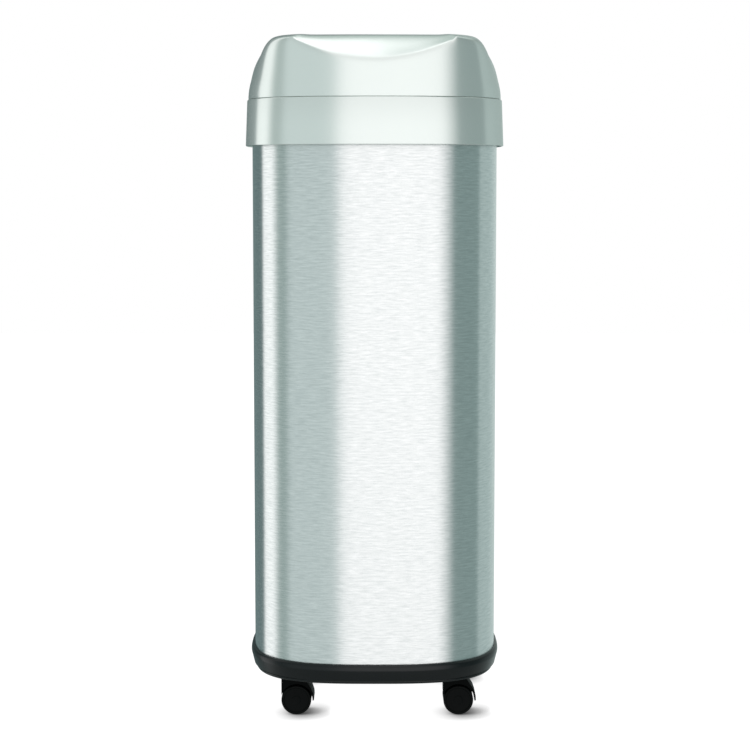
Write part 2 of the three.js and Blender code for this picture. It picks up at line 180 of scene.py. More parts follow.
def shell(grid, ring=False):
    """Points and faces of a grid whose columns close on each other, and its rows too in a ring.

    The faces are turned outwards: a · (b x c) summed over them is six times the volume inside.
    """
    rows, columns = grid.shape[:2]
    row = np.arange(rows if ring else rows - 1)[:, None] * columns
    next_row = (row + columns) % (rows * columns)
    column = np.arange(columns)[None, :]
    beside = (column + 1) % columns
    corners = (row + column, row + beside, next_row + beside, next_row + column)
    faces = np.stack(corners, axis=-1).reshape(-1, 4)
    points = grid.reshape(-1, 3)
    a, b, c, d = (points[faces[:, k]] for k in range(4))
    volume = np.sum(a * (np.cross(b, c) + np.cross(c, d)))
    return points, faces if volume > 0 else faces[:, ::-1]


def mesh_of(name, *shells):
    """One mesh of several closed shells, with the points that meet at a pole merged."""
    starts = np.cumsum([0] + [len(points) for points, _ in shells])
    points = np.concatenate([points for points, _ in shells])
    faces = np.concatenate([faces + start for (_, faces), start in zip(shells, starts)])
    mesh = bpy.data.meshes.new(name)
    mesh.from_pydata(points.tolist(), [], faces.tolist())
    if any(len(own) != len(np.unique(own.round(8), axis=0)) for own, _ in shells):
        work = bmesh.new()
        work.from_mesh(mesh)
        bmesh.ops.remove_doubles(work, verts=work.verts, dist=MERGE)
        work.to_mesh(mesh)
        work.free()
    return mesh


def combine(mesh, *tools):
    """The mesh after each (operation, mesh) of the tools in turn, by an exact boolean."""
    target = bpy.data.objects.new("target", mesh)
    bpy.context.scene.collection.objects.link(target)
    for operation, tool_mesh in tools:
        tool = bpy.data.objects.new("tool", tool_mesh)
        bpy.context.scene.collection.objects.link(tool)
        boolean = target.modifiers.new("combine", "BOOLEAN")
        boolean.operation = operation
        boolean.solver = "EXACT"
        boolean.object = tool
        result = target.evaluated_get(bpy.context.evaluated_depsgraph_get())
        target.data = bpy.data.meshes.new_from_object(result)
        target.modifiers.clear()
        bpy.data.objects.remove(tool)
    made = target.data
    bpy.data.objects.remove(target)
    return made


CREASE = math.radians(32)  # an edge between faces that turn by more than this stays sharp


def add_piece(name, mesh, material, slot, body, *nodes):
    """Shows the mesh as a piece that rides on a body and stands for CAD nodes."""
    mesh.name = name
    mesh.materials.clear()
    mesh.materials.append(material)
    mesh.shade_smooth()
    mesh.set_sharp_from_angle(angle=CREASE)
    made = bpy.data.objects.new(name, mesh)
    bpy.context.scene.collection.objects.link(made)
    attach(made, body)
    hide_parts(*nodes)


# Materials


def colour(hex_code):
    """An sRGB hex value as linear RGBA: v / 12.92 near black, else ((v + 0.055) / 1.055)^2.4."""
    srgb = np.array([int(hex_code[i : i + 2], 16) for i in (1, 3, 5)]) / 255
    linear = np.where(srgb <= 0.04045, srgb / 12.92, ((srgb + 0.055) / 1.055) ** 2.4)
    return (*linear, 1.0)


def blank_tree(owner):
    """The node tree of a material or world, emptied."""
    owner.use_nodes = True
    owner.node_tree.nodes.clear()
    return owner.node_tree


def node(tree, kind, inputs=(), **settings):
    """Adds a node with its settings; each of its inputs gets a value, or a link from a socket."""
    made = tree.nodes.new(kind)
    for key, value in settings.items():
        setattr(made, key, value)
    for key, value in dict(inputs).items():
        if isinstance(value, bpy.types.NodeSocket):
            tree.links.new(value, made.inputs[key])
        else:
            made.inputs[key].default_value = value
    return made


MIX_FIRST, MIX_SECOND, MIXED = 6, 7, 2  # a Mix node's colours, by number as names are shared
BRUSHING = "brushing"  # UV map of the sleeve: metres round the can and up it


def brushed_stainless():
    """430 stainless sheet, belt-brushed round the can, with a clear fingerprint-proof coat.

    The grit lines spread a reflection upwards and keep it sharp sideways, so the studio's strips
    show as tall bands with finely ragged edges. Real lines are 0.1 mm apart, too fine to show, so
    they are drawn as streaks 2.3 mm apart.
    """
    streak_length, streak_pitch, groove_depth = 18 * MM, 2.3 * MM, 0.06 * MM
    material = bpy.data.materials.new("brushed_stainless_sheet")
    tree = blank_tree(material)
    sheet = node(tree, "ShaderNodeUVMap", uv_map=BRUSHING).outputs["UV"]
    drawn_out = {"Vector": sheet, "Scale": (1 / streak_length, 1 / streak_pitch, 1)}
    along = node(tree, "ShaderNodeMapping", drawn_out).outputs["Vector"]
    grain = {"Vector": along, "Scale": 1.0, "Detail": 3.0, "Roughness": 0.65}
    streaks = node(tree, "ShaderNodeTexNoise", grain).outputs["Fac"]
    shades = {"Factor": streaks, MIX_FIRST: colour("#BFC5C5"), MIX_SECOND: colour("#FFFFFF")}
    tone = node(tree, "ShaderNodeMix", shades, data_type="RGBA").outputs[MIXED]
    grooves = {"Height": streaks, "Distance": groove_depth, "Strength": 1.0}
    bump = node(tree, "ShaderNodeBump", grooves)
    tangent = node(tree, "ShaderNodeTangent", direction_type="UV_MAP", uv_map=BRUSHING)
    finish = {
        "Base Color": tone,
        "Metallic": 1.0,
        "Roughness": 0.27,
        "Anisotropic": 0.88,
        "Anisotropic Rotation": 0.25,
        "Normal": bump.outputs["Normal"],
        "Tangent": tangent.outputs["Tangent"],
    }
    shader = node(tree, "ShaderNodeBsdfPrincipled", finish)
    node(tree, "ShaderNodeOutputMaterial", {"Surface": shader.outputs["BSDF"]})
    return material


def zinc_plate():
    """Bright zinc-plated steel: a bluish metal with the faint cloudiness of plating."""
    cloud_size = 2.5 * MM
    material = bpy.data.materials.new("bright_zinc_plate")
    tree = blank_tree(material)
    place = node(tree, "ShaderNodeTexCoord").outputs["Object"]
    clouds = {"Vector": place, "Scale": 1 / cloud_size, "Detail": 3.0, "Roughness": 0.55}
    cloud = node(tree, "ShaderNodeTexNoise", clouds).outputs["Fac"]
    shades = {"Factor": cloud, MIX_FIRST: colour("#AEB4B8"), MIX_SECOND: colour("#D2D6D8")}
    tone = node(tree, "ShaderNodeMix", shades, data_type="RGBA").outputs[MIXED]
    dull = node(tree, "ShaderNodeMapRange", {"Value": cloud, "To Min": 0.22, "To Max": 0.36})
    finish = {"Base Color": tone, "Metallic": 1.0, "Roughness": dull.outputs["Result"]}
    shader = node(tree, "ShaderNodeBsdfPrincipled", finish)
    node(tree, "ShaderNodeOutputMaterial", {"Surface": shader.outputs["BSDF"]})
    return material


def speckled(name, shades, sizes, depth, detail, finish):
    """A material whose colour wanders between two shades, over bumps of that depth.

    The sizes are those of the colour's patches and of the bumps, and detail is how finely both are
    broken up. The finish is set on the shader's own sockets.
    """
    material = bpy.data.materials.new(name)
    tree = blank_tree(material)
    place = node(tree, "ShaderNodeTexCoord").outputs["Object"]
    noise = {"Vector": place, "Detail": detail, "Roughness": 0.55}
    patches, bumps = (
        node(tree, "ShaderNodeTexNoise", {**noise, "Scale": 1 / size}).outputs["Fac"]
        for size in sizes
    )
    mixed = {"Factor": patches, MIX_FIRST: colour(shades[0]), MIX_SECOND: colour(shades[1])}
    tone = node(tree, "ShaderNodeMix", mixed, data_type="RGBA").outputs[MIXED]
    bump = node(tree, "ShaderNodeBump", {"Height": bumps, "Distance": depth, "Strength": 1.0})
    links = {"Base Color": tone, "Normal": bump.outputs["Normal"]}
    shader = node(tree, "ShaderNodeBsdfPrincipled", {**finish, **links})
    node(tree, "ShaderNodeOutputMaterial", {"Surface": shader.outputs["BSDF"]})
    return material


stainless = brushed_stainless()
zinc = zinc_plate()
# ABS sprayed with satin silver lacquer: metal flake in a binder, so soft reflections over a pale
# ground, on a faint orange peel about 3 mm across.
silver = speckled(
    "satin_silver_lacquer",
    shades=("#DAE1DE", "#E9EEEB"),
    sizes=(0.8 * MM, 3 * MM),
    depth=0.008 * MM,
    detail=1.0,
    finish={"Metallic": 0.76, "Roughness": 0.21, "Specular Tint": colour("#D6DBD9")},
)
# Polypropylene from a finely etched mould: near black, with a soft sheen on its roundings.
black_plastic = speckled(
    "black_polypropylene",
    shades=("#02070A", "#060C0F"),
    sizes=(12 * MM, 0.7 * MM),
    depth=0.012 * MM,
    detail=2.0,
    finish={"Roughness": 0.27, "Specular IOR Level": 0.36},
)
# Glass-filled nylon: duller than the base, and the wheels a little glossier than their hoods.
caster_nylon = speckled(
    "black_caster_nylon",
    shades=("#040606", "#080B0B"),
    sizes=(12 * MM, 0.6 * MM),
    depth=0.008 * MM,
    detail=2.0,
    finish={"Roughness": 0.55, "Specular IOR Level": 0.05},
)
wheel_nylon = speckled(
    "black_wheel_nylon",
    shades=("#040606", "#080B0B"),
    sizes=(12 * MM, 0.5 * MM),
    depth=0.006 * MM,
    detail=2.0,
    finish={"Roughness": 0.42, "Specular IOR Level": 0.07},
)
# Polypropylene in mid grey from a coarser mould: matt and plain, as it is out of sight in use.
grey_plastic = speckled(
    "grey_polypropylene",
    shades=("#545A5A", "#5E6464"),
    sizes=(12 * MM, 0.9 * MM),
    depth=0.015 * MM,
    detail=2.0,
    finish={"Roughness": 0.5, "Specular IOR Level": 0.4},
)

# Camera


def photograph_camera():
    """The photograph's camera: 2.5 m in front, a little below the lid, looking slightly down."""
    aside, distance, height, pitch = 0.6 * MM, 2.4605, 0.7331, math.radians(4.95)
    data = bpy.data.cameras.new("camera")
    data.sensor_width = 36
    data.lens = 83.68
    data.shift_y = -0.055
    camera = bpy.data.objects.new("camera", data)
    camera.location = (aside, -distance, height)
    camera.rotation_euler = (math.pi / 2 - pitch, 0, 0)
    bpy.context.scene.collection.objects.link(camera)
    bpy.context.scene.camera = camera


photograph_camera()

# Sleeve


def sleeve():
    """The rolled sheet, and the folded joint of its ends inside the rear wall."""
    bottom, top = SLEEVE_LOW[2], SLEEVE_HIGH[2]
    sheet = np.array([[0, bottom], [0, top], [-SLEEVE_WALL, top], [-SLEEVE_WALL, bottom]])
    fold_width, fold_depth, fold_edge = 8 * MM, 1.2 * MM, 0.25 * MM
    above_skirt = 19 * MM  # so that the fold ends just below the collar's inner wall
    low = reach("base_rim")[1][2] + CLEARANCE
    high = reach("top_collar")[0][2] + above_skirt
    half, outer = fold_width / 2, HALF_DEPTH - SLEEVE_WALL
    inner = outer - fold_depth
    corners = [[-half, inner, 0.5], [half, inner, 0.5], [half, outer, 0.1], [-half, outer, 0.1]]
    fold = prism(rounded(corners), low, high, fold_edge)
    mesh = mesh_of("steel_sleeve", shell(hoop(sheet), ring=True), shell(fold))
    lay_brushing(mesh)
    return mesh


def lay_brushing(mesh):
    """UV of the brushing: u is the way round the outside from the rear, v the height, in metres."""
    x, y = superellipse(HALF_WIDTH, HALF_DEPTH, PLAN_EXPONENT)
    steps = np.hypot(np.diff(x, append=x[0]), np.diff(y, append=y[0]))
    way = np.concatenate([[0], np.cumsum(steps)])
    corner_point = np.zeros(len(mesh.loops), int)
    mesh.loops.foreach_get("vertex_index", corner_point)
    points = np.zeros(3 * len(mesh.vertices))
    mesh.vertices.foreach_get("co", points)
    points = points.reshape(-1, 3)
    sine = bent(points[:, 1] / HALF_DEPTH, PLAN_EXPONENT / 2)
    cosine = bent(points[:, 0] / HALF_WIDTH, PLAN_EXPONENT / 2)
    share = ((np.arctan2(sine, cosine) - math.pi / 2) / (2 * math.pi)) % 1
    u = np.interp(share[corner_point].round(6) % 1, np.linspace(0, 1, AROUND + 1), way)
    # A face that closes the round has its corners at the start brought to the end.
    starts = np.zeros(len(mesh.polygons), int)
    mesh.polygons.foreach_get("loop_start", starts)
    sizes = np.diff(np.append(starts, len(corner_point)))
    widest = np.repeat(np.maximum.reduceat(u, starts), sizes)
    u = np.where(widest - u > way[-1] / 2, u + way[-1], u)
    layer = mesh.uv_layers.new(name=BRUSHING)
    layer.data.foreach_set("uv", np.stack([u, points[corner_point, 2]], axis=-1).ravel())


add_piece("steel_sleeve", sleeve(), stainless, "brushed_stainless", "bin", "body_sleeve")

# Collar


def collar():
    """The collar: an outer skirt that widens downwards, a ledge for the ring and an inner wall."""
    widest, _, top = reach("top_collar")[1]
    draft, skirt_wall, skirt_reach = 2.4 * MM, 2.5 * MM, 54.5 * MM
    inset, ledge, ledge_drop, ledge_wall = 5 * MM, 5.5 * MM, 17 * MM, 2.5 * MM
    inner_wall, upstand_reach = 2.5 * MM, 35 * MM
    foot, bottom = widest - HALF_WIDTH, SLEEVE_HIGH[2] - skirt_reach
    brow, flange = foot - draft, SLEEVE_HIGH[2] + CLEARANCE
    ledge_top, ledge_end = top - ledge_drop, -inset - ledge
    ledge_under = ledge_top - ledge_wall
    inner, upstand = SLEEVE_INSIDE - inner_wall, SLEEVE_HIGH[2] - upstand_reach
    section = rounded(
        [
            [foot, bottom, 0.9],
            [brow, top, 1.3],
            [-inset, top, 0.7],
            [-inset, ledge_top, 0.4],
            [ledge_end, ledge_top, 0.7],
            [ledge_end, ledge_under, 0.6],
            [inner, ledge_under - ledge, 1.5],
            [inner, upstand, 0.7],
            [SLEEVE_INSIDE, upstand, 0.7],
            [SLEEVE_INSIDE, flange, 0.1],
            [brow - skirt_wall, flange, 0.8],
            [foot - skirt_wall, bottom, 0.9],
        ]
    )
    return mesh_of("silver_collar", shell(hoop(section), ring=True))


add_piece("silver_collar", collar(), silver, "silver_moulding", "bin", "top_collar")

# Liner ring


def liner_ring():
    """The liner ring: a flange on the collar's ledge and a skirt with a rolled lower edge."""
    (_, _, bottom), (_, _, top) = reach("bag_ring")
    rim, skirt, wall, flange = -5.4 * MM, -10.9 * MM, 2.2 * MM, 2.5 * MM
    section = rounded(
        [
            [skirt, bottom, 0.9],
            [skirt, top - flange, 0.3],
            [rim, top - flange, 0.5],
            [rim, top, 0.9],
            [skirt - wall, top, 1.8],
            [skirt - wall, bottom, 0.9],
        ]
    )
    return mesh_of("liner_ring", shell(hoop(section), ring=True))


add_piece("liner_ring", liner_ring(), grey_plastic, "grey_moulding", "liner_ring", "bag_ring")

# Lid

LID_HIGH = reach("open_lid")[1]
LID_TOP = LID_HIGH[2]
LID_OVERHANG = LID_HIGH[0] - HALF_WIDTH
LID_SEAM = reach("top_collar")[1][2] + CLEARANCE
LID_WALL = 2.5 * MM
MOUTH = (128 * MM, 92 * MM)  # half width and half depth of the crest round the mouth
MOUTH_EXPONENT = 3.2

# Control points of the outside from the seam to the crest, as [way in, way up]: over the sides, up
# the front and rear where they stand full height, and over their scooped middles.
SIDE_SHARES = [
    [0, 0], [0, 0.14], [0.08, 0.30], [0.14, 0.46], [0.24, 0.61], [0.39, 0.75],
    [0.51, 0.87], [0.59, 0.955], [0.72, 1], [0.86, 1], [1, 1],
]
POST_SHARES = [
    [0, 0], [0, 0.18], [0.004, 0.45], [0.008, 0.70], [0.012, 0.89], [0.035, 0.935],
    [0.12, 0.945], [0.32, 0.985], [0.55, 1], [0.8, 1], [1, 1],
]
SCOOP_SHARES = [
    [0, 0], [0, 0.14], [0, 0.30], [0, 0.45], [0, 0.545], [0.02, 0.60],
    [0.12, 0.695], [0.32, 0.84], [0.55, 0.945], [0.8, 1], [1, 1],
]
SCOOP_WIDTH_SHARE = 0.64  # of the half width, where the scoop's curve would reach the top
SCOOP_END_SHARES = (0.585, 0.65)  # of the half width, between which the scoop slopes out
SIDE_END_SHARES = (0.375, 0.9)  # of the half depth, between which the sides give way


def fading(values, start, end):
    """1 up to the start, 0 from the end, and 1 - r²(3 - 2r) at the share r of the way between."""
    r = np.clip((values - start) / (end - start), 0, 1)
    return 1 - r * r * (3 - 2 * r)


def lid_net(wall):
    """The lid's outside, moved in by a wall, as control points from the seam up to the crest.

    A point lies its way in from the seam's plan to the mouth's, and its way up from the seam to the
    top. Both ways are mixed from the three forms. The sides fade out with depth. Of what they
    leave, the scoop takes the parabola 1 - (across / width)², which fades out at either end, and
    the posts take the rest.
    """
    across, deep = np.abs(superellipse(1, 1, PLAN_EXPONENT))
    parabola = np.maximum(0, 1 - (across / SCOOP_WIDTH_SHARE) ** 2)
    scoop = parabola * fading(across, *SCOOP_END_SHARES)
    side = fading(deep, *SIDE_END_SHARES)
    weights = np.stack([scoop * (1 - side), side, (1 - scoop) * (1 - side)])
    forms = np.array([SCOOP_SHARES, SIDE_SHARES, POST_SHARES])
    way_in, way_up = np.einsum("fjk,fn->kjn", forms, weights)
    edge = LID_OVERHANG - wall
    foot = superellipse(HALF_WIDTH + edge, HALF_DEPTH + edge, PLAN_EXPONENT)
    crest = superellipse(*MOUTH, MOUTH_EXPONENT)
    x, y = (start + (end - start) * way_in for start, end in zip(foot, crest))
    z = LID_SEAM + wall + (LID_TOP - LID_SEAM - 2 * wall) * way_up
    return np.stack([x, y, z], axis=-1)


def throat(rows):
    """Rings inside the crest, each [offset from its plan, depth below the top] in millimetres."""
    offset, drop = np.hsplit(np.array(rows) * MM, 2)
    x, y = superellipse(MOUTH[0] + offset, MOUTH[1] + offset, MOUTH_EXPONENT)
    return np.stack([x, y, np.broadcast_to(LID_TOP - drop, x.shape)], axis=-1)


def lid():
    """The open lid as one closed wall: outside, roll into the mouth, inside, and plug.

    Outside and inside are splines along their control points, and the lip and the plug are plain.
    """
    roll, depth, wall, roll_start_share = 9, 26, LID_WALL / MM, 0.6
    outer_roll = throat([[-roll * roll_start_share, 0], [-roll, 2.5], [-roll, 8], [-roll, depth]])
    lip_depth = depth + 0.6
    lip = throat([[0.5 - roll, lip_depth], [2 - roll, lip_depth]])
    back = wall - roll
    inner_roll = throat([[back, depth], [back, 10], [back, 3.5], [back * roll_start_share, wall]])
    plug_outside, plug_inside, plug_reach = -5.3 * MM, -7.6 * MM, 13 * MM
    chamfer, chamfer_height = 0.6 * MM, 0.7 * MM
    bottom = LID_SEAM - plug_reach
    plug = np.array(
        [
            [plug_inside, LID_SEAM + LID_WALL],
            [plug_inside, bottom + chamfer_height],
            [plug_inside + chamfer, bottom],
            [plug_outside - chamfer, bottom],
            [plug_outside, bottom + chamfer_height],
            [plug_outside, LID_SEAM],
            [LID_OVERHANG - chamfer_height, LID_SEAM],
        ]
    )
    foot_edge, skin_steps, lining_steps = 0.5 * MM, 110, 44
    foot = lid_net(0)[:1] + [0, 0, foot_edge]
    skin = spline(np.concatenate([lid_net(0), outer_roll]), skin_steps)
    lining = spline(np.concatenate([inner_roll, lid_net(LID_WALL)[::-1]]), lining_steps)
    wall_grid = np.concatenate([foot, skin[1:], lip, lining, hoop(plug)])
    return mesh_of("open_lid_moulding", shell(wall_grid, ring=True))


add_piece("open_lid_moulding", lid(), silver, "silver_moulding", "lid", "open_lid")

# Base

SCREWS = [reach(f"tray_screw_{k}") for k in range(1, 7)]
SCREW_PLACES = [(low + high)[:2] / 2 for low, high in SCREWS]
RIM_LOW, RIM_HIGH = reach("base_rim")
# The middle of each stem, about which its caster swivels.
STEMS = {
    name: sum(reach(f"caster_{name}_stem")) / 2
    for name in ("front_left", "front_right", "rear_left", "rear_right")
}


def base_rim():
    """The base: a bulging band, the groove that the sleeve stands in, an upstand and the floor."""
    bottom, upstand_top = RIM_LOW[2], RIM_HIGH[2]
    swell = 0.9 * MM  # as the round band stands out further than the CAD's straight one
    taper, lean, widest_share = 3.9 * MM, 0.5 * MM, 0.68
    upstand_wall, upstand_reach = 2.5 * MM, 10 * MM
    bulge = RIM_HIGH[0] - HALF_WIDTH + swell
    top = upstand_top - upstand_reach
    widest = bottom + (top - bottom) * widest_share
    inner, groove = SLEEVE_INSIDE - upstand_wall, SLEEVE_LOW[2] - CLEARANCE
    corners = [
        [bulge - taper, bottom, 0.5],
        [bulge, widest, 9],
        [bulge - lean, top, 4.2],
        [CLEARANCE, top, 0.1],
        [CLEARANCE, groove, 0.1],
        [SLEEVE_INSIDE, groove, 0.1],
        [SLEEVE_INSIDE, upstand_top, 0.8],
        [inner, upstand_top, 0.8],
        [inner, bottom, 0.8],
    ]
    band = hoop(rounded(corners, steps=7))
    floor_rise, floor_wall, floor_edge, overlap = 19.3 * MM, 3 * MM, 0.3 * MM, 0.4 * MM
    low = bottom + floor_rise
    plate = plan_plate(inner + overlap, low, low + floor_wall, floor_edge)
    bore, boss, into_floor = 2.05 * MM, 4.65 * MM, 1 * MM
    end = low + into_floor
    corners = [[bore, bottom, 0.2], [boss, bottom, 0.2], [boss, end, 0.2], [bore, end, 0.2]]
    tube = turned(rounded(corners))
    bosses = [shell(tube + [x, y, 0], ring=True) for x, y in SCREW_PLACES]
    return mesh_of("base_moulding", shell(band, ring=True), shell(plate), *bosses)


add_piece("base_moulding", base_rim(), black_plastic, "black_moulding", "bin", "base_rim")

TRAY_EXPONENT = 3.1  # the tray's border has squarer corners than the sleeve


def tray():
    """The tray: a border that curves in below, a plate, crossed ribs, and sockets and wells."""
    bottom, top = reach("caster_tray")[0][2], RIM_LOW[2] - CLEARANCE
    border, set_back, lift, curve = 14 * MM, 2 * MM, 0.8 * MM, 3.5 * MM
    plate, rib, bevel, chamfer = 3 * MM, 2.4 * MM, 0.3 * MM, 0.5 * MM
    under = bottom + lift
    turn = np.linspace(0, math.pi / 2, 9)
    bend = np.stack([-curve + curve * np.sin(turn), under + curve * (1 - np.cos(turn))], axis=-1)
    rest = [[0, top - bevel], [-bevel, top], [-border, top]]
    rest += [[-border, under + chamfer], [chamfer - border, under]]
    section = np.concatenate([bend, rest]) - [set_back, 0]
    shells = [shell(hoop(section, TRAY_EXPONENT), ring=True)]
    step, plate_edge = 0.05 * MM, 0.2 * MM
    shells.append(shell(plan_plate(-border / 2, top - plate, top - step, plate_edge)))
    stems = np.array(list(STEMS.values()))
    within = top - plate / 2  # what stands below the plate ends inside it
    rib_step, rib_edge = 0.1 * MM, 0.4 * MM
    for share in np.linspace(-1, 1, 5):
        for axis, half, size in ((0, HALF_DEPTH, HALF_WIDTH), (1, HALF_WIDTH, HALF_DEPTH)):
            # A rib ends inside the border, whose plan is |u|^n + |v|^n = 1 in shares of its size.
            at = share * stems[:, axis].max()
            inside = (1 - (abs(at) / (size - border)) ** PLAN_EXPONENT) ** (1 / PLAN_EXPONENT)
            end, side = (half - border / 2) * inside, rib / 2
            corners = [[-side, -end, 0.3], [side, -end, 0.3], [side, end, 0.3], [-side, end, 0.3]]
            outline = np.roll(rounded(corners, steps=3), axis, axis=1)
            bar = prism(outline, bottom + rib_step, within, rib_edge)
            shells.append(shell(bar + np.roll([at, 0, 0], axis)))
    socket, wall, pad, cap = 5.6 * MM, 3 * MM, 20 * MM, 24.5 * MM
    holder = rounded(
        [
            [socket, bottom, 0.4],
            [pad, bottom, 1.0],
            [pad, within, 0.3],
            [socket + wall, within, 0.3],
            [socket + wall, bottom + cap, 0.6],
            [socket, bottom + cap, 0.3],
        ]
    )
    shells += [shell(turned(holder) + [x, y, 0], ring=True) for x, y, _ in stems]
    hole, rim = 3.9 * MM, 6.3 * MM
    corners = [[hole, bottom, 0.3], [rim, bottom, 0.5], [rim, within, 0.3], [hole, within, 0.3]]
    well = turned(rounded(corners), steps=32)
    shells += [shell(well + [x, y, 0], ring=True) for x, y in SCREW_PLACES]
    return mesh_of("caster_tray_moulding", *shells)


add_piece("caster_tray_moulding", tray(), black_plastic, "black_moulding", "bin", "caster_tray")

# Casters

WHEEL_LOW, WHEEL_HIGH = reach("caster_front_left_outer_wheel")
WHEEL_WIDTH = (WHEEL_HIGH - WHEEL_LOW)[1]
WHEEL_RADIUS = (WHEEL_HIGH - WHEEL_LOW)[2] / 2
AXLE_Z = (WHEEL_LOW + WHEEL_HIGH)[2] / 2
HOOD_LOW, HOOD_HIGH = reach("caster_front_left_housing")
# Places from front to rear are counted from the stem, so that one housing serves all four.
TRAIL = (WHEEL_LOW + WHEEL_HIGH)[0] / 2 - STEMS["front_left"][0]
HOOD_FRONT = HOOD_LOW[0] - STEMS["front_left"][0]
HOOD_TAIL = HOOD_HIGH[0] - STEMS["front_left"][0]
HOOD_HALF = (HOOD_HIGH - HOOD_LOW)[1] / 2
HOOD_TOP = HOOD_HIGH[2]


def wheel_section():
    """[radius, way out from the hub face]: a tread, a raised lip and a sunk, domed disc."""
    radius, width = WHEEL_RADIUS, WHEEL_WIDTH
    bore, bore_depth, lip, dish = 2.8 * MM, 12.4 * MM, 3.2 * MM, 0.9 * MM
    hub_taper, hub_side, face_taper, face_side = 1.0 * MM, 1.2 * MM, 1.2 * MM, 1.4 * MM
    centre, centre_slope, centre_depth = 6.5 * MM, 0.5 * MM, 0.4 * MM
    disc = width - dish
    sunk = disc - centre_depth
    corners = [
        [bore, 0, 0.3],
        [radius - hub_taper, 0, 0.6],
        [radius, hub_side, 1.4],
        [radius, width - face_side, 1.4],
        [radius - face_taper, width, 1.0],
        [radius - lip, width, 0.4],
        [radius - lip - dish, disc, 0.5],
        [centre, disc, 0.3],
        [centre - centre_slope, sunk, 0.3],
        [bore, sunk, 0],
    ]
    tyre = rounded(corners)[: -2 * ARC_STEPS]
    pit = np.array([[0, bore_depth], [bore, bore_depth]])
    dome = [0, disc] + np.array([[5, -0.38], [2.5, -0.32], [0, -0.3]]) * MM
    return np.concatenate([pit, tyre, dome])


def wheel(name, outwards):
    """A wheel turned about its axle, from the blind bore out to the middle of its disc."""
    low, high = reach(name)
    grid = turned(wheel_section(), steps=96)[..., [0, 2, 1]] * [1, outwards, 1]
    centre = (low + high) / 2
    hub = low[1] if outwards > 0 else high[1]
    return mesh_of(name, shell(grid + [centre[0], hub, centre[2]]))


def round_bar(radius, low, high, edge):
    """A turned bar between two heights, with closed ends, and edges rounded by edge millimetres."""
    section = rounded([[0, low, 0], [radius, low, edge], [radius, high, edge], [0, high, 0]])
    return turned(section[ARC_STEPS - 1 : 1 - ARC_STEPS], steps=40)


def flank():
    """The housing's side view from hood to tail, as thick as the hood is wide, with round edges."""
    edge, slope = 0.8 * MM, 16 * MM
    # From the tail's end and the axle's height in millimetres, each with its radius.
    tail = [[-1.7, -1.2, 1], [0.4, -1, 1], [0.1, 6, 15], [-3, 15, 15], [-9.5, 25, 15]]
    corners = [[HOOD_TAIL + x * MM, AXLE_Z + z * MM, radius] for x, z, radius in tail]
    corners += [[HOOD_TAIL - slope, HOOD_TOP, 5], [HOOD_FRONT, HOOD_TOP, 3]]
    corners += [[HOOD_FRONT + x * MM, AXLE_Z + z * MM, 2.4] for x, z in ((0, 4), (10, -1.8))]
    side_view = rounded(corners, steps=12)
    grid = prism(side_view, -HOOD_HALF, HOOD_HALF, edge, steps=6)
    return mesh_of("flank", shell(grid[..., [0, 2, 1]]))


def wheel_well():
    """The space for both wheels, turned about the axle, with a lip that flares at each face."""
    play, flare, beyond, shift = 1.35 * MM, 0.2 * MM, 4 * MM, 0.4 * MM
    well = WHEEL_RADIUS + play
    turn = np.linspace(0, math.pi / 2, 5)
    across, along = well + flare * (1 - np.cos(turn)), HOOD_HALF - flare * (1 - np.sin(turn))
    far = [[well + flare, HOOD_HALF + beyond], [0, HOOD_HALF + beyond]]
    profile = np.concatenate([np.stack([across, along], axis=-1), far])
    profile = np.concatenate([profile[::-1] * [1, -1], profile])
    grid = turned(profile, steps=120)[..., [0, 2, 1]] + [TRAIL + shift, 0, AXLE_Z]
    return mesh_of("well", shell(grid))


def web():
    """The web between the wheels, from the axle up into the hood; behind it the tail hangs free."""
    half, edge, step = 3.5 * MM, 0.5 * MM, 0.6 * MM
    front = [[HOOD_FRONT + step, AXLE_Z + z * MM, 1] for z in (7, 26)]
    # From the axle in millimetres, each with its radius.
    rest = [[12, 26, 1], [21, 10, 1], [18, 4, 3], [9, -2, 3], [0, -7, 3], [-9, -2, 3]]
    rest = [[TRAIL + x * MM, AXLE_Z + z * MM, radius] for x, z, radius in rest]
    return mesh_of("web", shell(prism(rounded(front + rest), -half, half, edge)[..., [0, 2, 1]]))


def housing():
    """The housing about its swivel axis: hood, web and axle boss, bored for axle and stem."""
    boss_radius, boss_half = 8 * MM, 3.6 * MM
    bore_radius, bore_half = 2.8 * MM, 8 * MM
    socket_radius, socket_depth, beyond = 4.3 * MM, 8 * MM, 2 * MM
    boss = round_bar(boss_radius, -boss_half, boss_half, 0.5)
    bore = round_bar(bore_radius, -bore_half, bore_half, 0.1)
    socket = round_bar(socket_radius, HOOD_TOP - socket_depth, HOOD_TOP + beyond, 0.1)
    boss, bore = (shell(bar[..., [0, 2, 1]] + [TRAIL, 0, AXLE_Z]) for bar in (boss, bore))
    return combine(
        flank(),
        ("DIFFERENCE", wheel_well()),
        ("UNION", web()),
        ("UNION", mesh_of("boss", boss)),
        ("DIFFERENCE", mesh_of("bore", bore)),
        ("DIFFERENCE", mesh_of("socket", shell(socket))),
    )


def casters():
    """The four casters: each housing is the same moulding moved to its swivel axis."""
    moulding = housing()
    for name, (x, y, _) in STEMS.items():
        caster = f"caster_{name}"
        own = moulding.copy()
        own.transform(Matrix.Translation((x, y, 0)))
        add_piece(
            f"{caster}_hood", own, caster_nylon, "black_caster_nylon", caster, f"{caster}_housing"
        )
        for label, side in (("outer", 1), ("inner", -1)):
            cad_wheel, body = f"{caster}_{label}_wheel", f"{name}_{label}_wheel"
            made = wheel(cad_wheel, side * np.sign(y))
            add_piece(
                f"{cad_wheel}_turned", made, wheel_nylon, "black_wheel_nylon", body, cad_wheel
            )


casters()

# Screws, and the steel parts that keep their CAD shape


